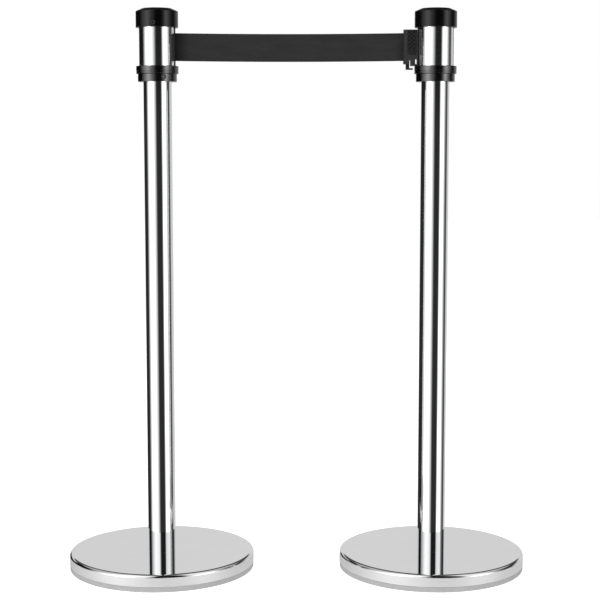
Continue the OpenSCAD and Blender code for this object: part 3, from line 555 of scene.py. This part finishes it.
# Grip pads: thin plates with softened corners and rows of round pits, on the front and the back of the clip
gripPad = {"side": 0.0066, "nose": 0.0033, "top": 0.0016, "front": 0.0445, "back": (0.0125, 0.030),  # margins and heights of the pads
           "thick": 0.0006, "corner": 0.0016, "edge": 0.00012, "pit": 0.0015, "column": 0.0042, "row": 0.0072,
           "pits": 0.034, "sideMargins": (0.0031, 0.0025), "endMargins": (0.003, 0.002)}  # where the rows of pits begin and end


def flatPlate(name, outlines, y, thick, edge, finish, outward):
    curve = bpy.data.curves.new(name, "CURVE")
    curve.dimensions, curve.fill_mode, curve.extrude = "2D", "BOTH", thick / 2 - edge
    curve.bevel_depth, curve.bevel_resolution, curve.offset = edge, 2, -edge
    for line in outlines:
        spline = curve.splines.new("POLY")
        spline.points.add(len(line) - 1)
        spline.points.foreach_set("co", np.hstack((line, np.zeros((len(line), 1)), np.ones((len(line), 1)))).astype(np.float32).ravel())
        spline.use_cyclic_u = True
    holder = bpy.data.objects.new(name, curve)
    bpy.context.collection.objects.link(holder)
    mesh = bpy.data.meshes.new_from_object(holder.evaluated_get(bpy.context.evaluated_depsgraph_get()))
    bpy.data.objects.remove(holder)
    place = Matrix.Translation((0, y + outward * thick / 2, 0)) @ Matrix.Rotation(math.pi / 2, 4, "X")
    mesh.transform(place)
    mesh.name = name
    mesh.materials.clear()
    mesh.materials.append(finishes[finish])
    mesh.polygons.foreach_set("use_smooth", np.ones(len(mesh.polygons), bool))
    work = bmesh.new()
    work.from_mesh(mesh)
    bmesh.ops.remove_doubles(work, verts=work.verts, dist=1e-6)
    bmesh.ops.recalc_face_normals(work, faces=work.faces)
    work.to_mesh(mesh)
    work.free()
    mesh.set_sharp_from_angle(angle=math.radians(30))
    piece = bpy.data.objects.new(name, mesh)
    bpy.context.collection.objects.link(piece)
    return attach(piece, "clip")


def gripPads():
    v = gripPad
    body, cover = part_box("clip_body"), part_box("clip_cover")
    left, right, top = body[0].x + v["side"], body[1].x - v["nose"], body[1].z - v["top"]
    (fromLeft, toRight), (fromTop, toLow) = v["sideMargins"], v["endMargins"]
    circle = np.linspace(0, 2 * np.pi, 20, endpoint=False)[::-1]
    ring = np.stack((np.cos(circle), np.sin(circle)), 1) * v["pit"]
    for name, y, outward, high, low in (("front_grip", body[0].y, -1, top, top - v["front"] + v["top"]),
                                        ("back_grip", cover[1].y, 1, top - v["back"][0], top - v["back"][0] - v["back"][1])):
        frameLine = roundedOutline([(x, z, v["corner"]) for x, z in ((left, low), (right, low), (right, high), (left, high))])
        # A dark sheet behind each pad shows through the pits as painted shade
        flatPlate(name + "_pits", [frameLine], y, v["edge"], v["edge"] / 4, "gripPitPaintedShade", outward)
        columns = np.arange(left + fromLeft, right - toRight, v["column"])
        centres = [(x, z) for i, x in enumerate(columns)
                   for z in np.arange(high - fromTop - (i % 2) * v["row"] / 2, max(low, high - v["pits"]) + toLow, -v["row"])]
        flatPlate(name, [frameLine] + [ring + c for c in centres], y, v["thick"], v["edge"], "gripRubber", outward)


gripPads()
print("grip pads placed")


# Webbing: a strip of cross-section (h(w), w) carried along a plan path p(s) with its normal n(s), w across the belt:
# p(s) + n(s) h(w), height z(s) + w, where h is half the thickness, less a little between the cords, and rounded at the selvedges
webbing = {"thick": 0.0006, "wide": (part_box("belt")[1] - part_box("belt")[0]).z, "cords": 24, "hollow": 0.3, "sag": 0.0017,
           "slip": 0.0001, "hub": 0.0112,  # gap at the pins, and the radius where the roll begins
           "seam": 0.1, "level": 0.004, "swerve": 0.003}  # before the clip's pin: the last stretch, its level end, its turn to the side


def webbingStrip(name, path, height, body, stands, cordSteps=6, shrink=1.0, startAt=0.0):
    v = webbing
    step = np.gradient(path, axis=0)
    step /= np.linalg.norm(step, axis=1, keepdims=True)
    normal = np.stack((-step[:, 1], step[:, 0]), 1)
    count = v["cords"] * cordSteps
    w = np.linspace(-1, 1, count + 1)
    ridge = abs(np.sin((w + 1) / 2 * v["cords"] * np.pi)) if cordSteps > 2 else np.ones(count + 1)
    h = v["thick"] / 2 * shrink * (1 - v["hollow"] * (1 - ridge)) * (1 - abs(w) ** 40 * 0.6)
    loopW, loopH = np.concatenate((w, w[::-1])) * v["wide"] / 2, np.concatenate((h, -h[::-1]))
    s = np.concatenate(((0,), np.cumsum(np.linalg.norm(np.diff(path, axis=0), axis=1)))) + startAt
    flat = path[:, None] + normal[:, None] * loopH[None, :, None]
    points = np.concatenate((flat, (height[:, None] + loopW[None])[..., None]), -1)
    index = np.arange(points[..., 0].size).reshape(points.shape[:2])
    sides = gridFaces(index, False, True)
    across = np.arange(count)
    cap = lambda row: np.stack((row[across], row[across + 1], row[-2 - across], row[-1 - across]), -1)
    faces = [*sides, cap(index[0]), cap(index[-1])[:, ::-1]]
    piece = meshPiece(name, points, [f[:, ::-1] for f in faces], "webbing", None, stands, crease=60)
    uv = piece.data.uv_layers.new(name="weave")
    corner = np.zeros(len(piece.data.loops), np.int32)
    piece.data.loops.foreach_get("vertex_index", corner)
    coords = np.stack((np.repeat(s, len(loopW)), np.tile(loopW + v["wide"] / 2, len(s))), 1)
    uv.data.foreach_set("uv", coords[corner].astype(np.float32).ravel())
    return (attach(piece, body) if body else piece), s[-1] - s[0]


def beltPieces():
    v = webbing
    belt, roll, pins, clipPin = (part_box(n) for n in ("belt", "belt_roll", "belt_post_guide_pins", "belt_end_pin"))
    axis, rollR = (roll[0] + roll[1]) / 2, (roll[1].x - roll[0].x) / 2
    pinR, mid = (pins[1].x - pins[0].x) / 2, (belt[0].z + belt[1].z) / 2
    pin = np.array(((pins[0].x + pins[1].x) / 2, pins[1].y - pinR))
    around = v["thick"] / 2 + v["slip"]  # from a pin's or the roll's surface to the middle of the webbing
    bend, leave = pinR + around, rollR + around
    away = pin - np.array(axis.xy)
    lean = math.atan2(away[1], away[0]) - math.asin((leave + bend) / np.linalg.norm(away))
    out = np.array((-math.sin(lean), math.cos(lean)))
    level = lambda n: np.full(n, mid)
    # the roll is a spiral whose radius grows by one thickness a turn
    turns = int((rollR - v["hub"]) / v["thick"])
    t = np.linspace(0, turns * 2 * np.pi, turns * 44)
    grow = rollR - v["thick"] / 2 - (turns - t / (2 * np.pi)) * v["thick"]
    angle = lean + math.pi / 2 - turns * 2 * np.pi + t
    spiral = np.array(axis.xy) + grow[:, None] * np.stack((np.cos(angle), np.sin(angle)), 1)
    rolled, rolledLong = webbingStrip("rolled_belt", spiral, level(len(spiral)), "drum", ("belt_roll",), 1, 0.86)
    # then a straight lead to the guide pin, and the bend round it
    straight = np.linspace(np.array(axis.xy) + leave * out, pin - bend * out, 12)
    a = np.linspace(lean - math.pi / 2, -math.pi / 2, 10)[1:]
    lead = np.vstack((straight, pin + bend * np.stack((np.cos(a), np.sin(a)), 1)))
    led, ledLong = webbingStrip("belt_to_pin", lead, level(len(lead)), "belt_post", ("belt_lead",), 2)
    # the open run hangs in a shallow curve: the drop is the sag times 1 - (2 s - 1) squared
    start, stop = pin[0], (clipPin[0].x + clipPin[1].x) / 2
    loopR = (clipPin[1].x - clipPin[0].x) / 2 + around
    seam, flatFrom, swerve = stop - v["seam"], stop - v["level"], stop - loopR - v["swerve"]
    drop = lambda x: mid - v["sag"] * (1 - (2 * (x - start) / (flatFrom - start) - 1) ** 2).clip(0)
    x1, x2 = np.linspace(start, seam, 84), np.linspace(seam, swerve, 24)
    run, runLong = webbingStrip("belt_run", np.stack((x1, x1 * 0), 1), drop(x1), None, ("belt",), 6)
    turnIn = np.linspace(0, 1, 8)[1:]
    ease = turnIn * turnIn * (3 - 2 * turnIn)
    side = np.stack((swerve + turnIn * (stop - swerve), ease * loopR), 1)
    a = np.linspace(math.pi / 2, -math.pi * 0.8, 22)[1:]
    loop = np.array((stop, 0)) + loopR * np.stack((np.cos(a), np.sin(a)), 1)
    path = np.vstack((np.stack((x2, x2 * 0), 1), side, loop))
    end, endLong = webbingStrip("belt_end", path, np.where(path[:, 0] < flatFrom, drop(path[:, 0]), mid), None, (), 6, 1.0, runLong)
    seam - 0.02
    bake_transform(run)
    seam + 0.01
    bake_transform(end)


beltPieces()
print("belt woven")

# The other pieces keep their worked-out forms; the longest matching ending names the finish
finishOf = {
    "weight": "castIron", "tie_bolt": "zincSteel", "washer": "zincSteel", "pole_plug": "zincSteel", "collar_screw": "blackSteel",
    "cap_screw": "blackSteel", "guide_pins": "zincSteel", "head_plate": "satinBlack", "head_bolts": "zincSteel",
    "cassette_frame": "blackSteel", "cassette_lid": "blackSteel", "cassette_bushes": "bronze", "spring_cup": "zincSteel",
    "power_spring": "springSteel", "spring_lid": "zincSteel", "drum_shaft": "zincSteel", "drum": "satinBlack",
    "belt_end_pin": "zincSteel", "clip_screws": "zincSteel", "lever_pin": "zincSteel", "lever_spring": "springSteel", "core": "satinBlack",
}
for name, piece in nodes.items():
    for ending in sorted(finishOf, key=len):
        if name.endswith(ending) and not piece.hide_render:
            for holder in piece.material_slots:
                holder.material = finishes[finishOf[ending]]
print("remaining pieces finished")
